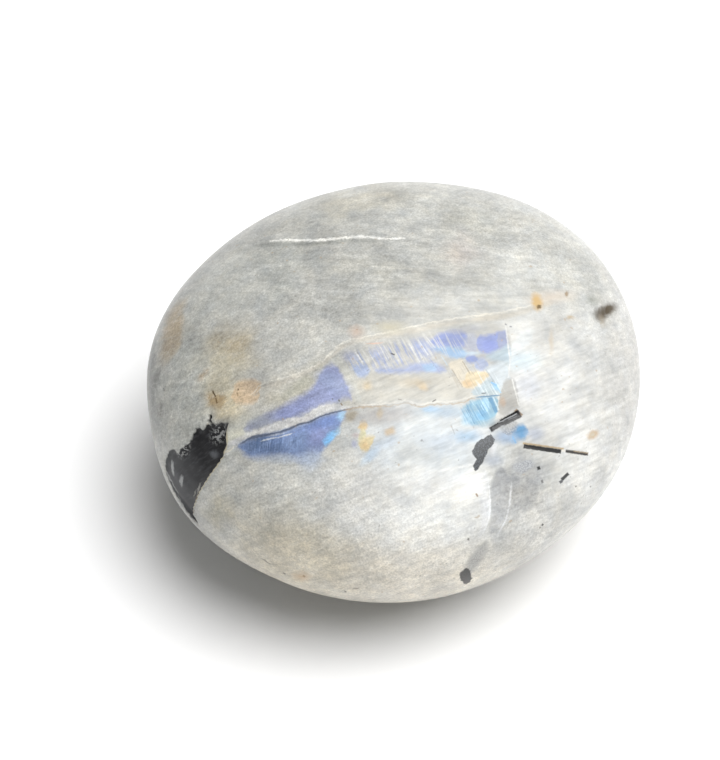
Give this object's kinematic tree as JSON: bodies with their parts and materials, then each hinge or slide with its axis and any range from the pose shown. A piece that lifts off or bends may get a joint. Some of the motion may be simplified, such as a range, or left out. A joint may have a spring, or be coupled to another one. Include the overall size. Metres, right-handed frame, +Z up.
{
  "type": "polished moonstone pebble",
  "caption": "Thick oval pebble of polished milky stone with blue sheen, a sunken dark pocket, needle grooves and a pit, resting on a small flat spot.",
  "frame": {"origin": "middle of the small flat spot that the pebble rests on", "axes": "+X along the longest extent, +Z up and along the shortest extent, and the side with the blue sheen faces -Y and up"},
  "size_m": [0.0499, 0.048, 0.0305],
  "materials": {
    "polished_moonstone": "tumbled to a satin polish, milky white to grey with blue and amber sheen and black tourmaline"
  },
  "bodies": {
    "root": {"moonstone": "polished_moonstone"}
  },
  "joints": []
}
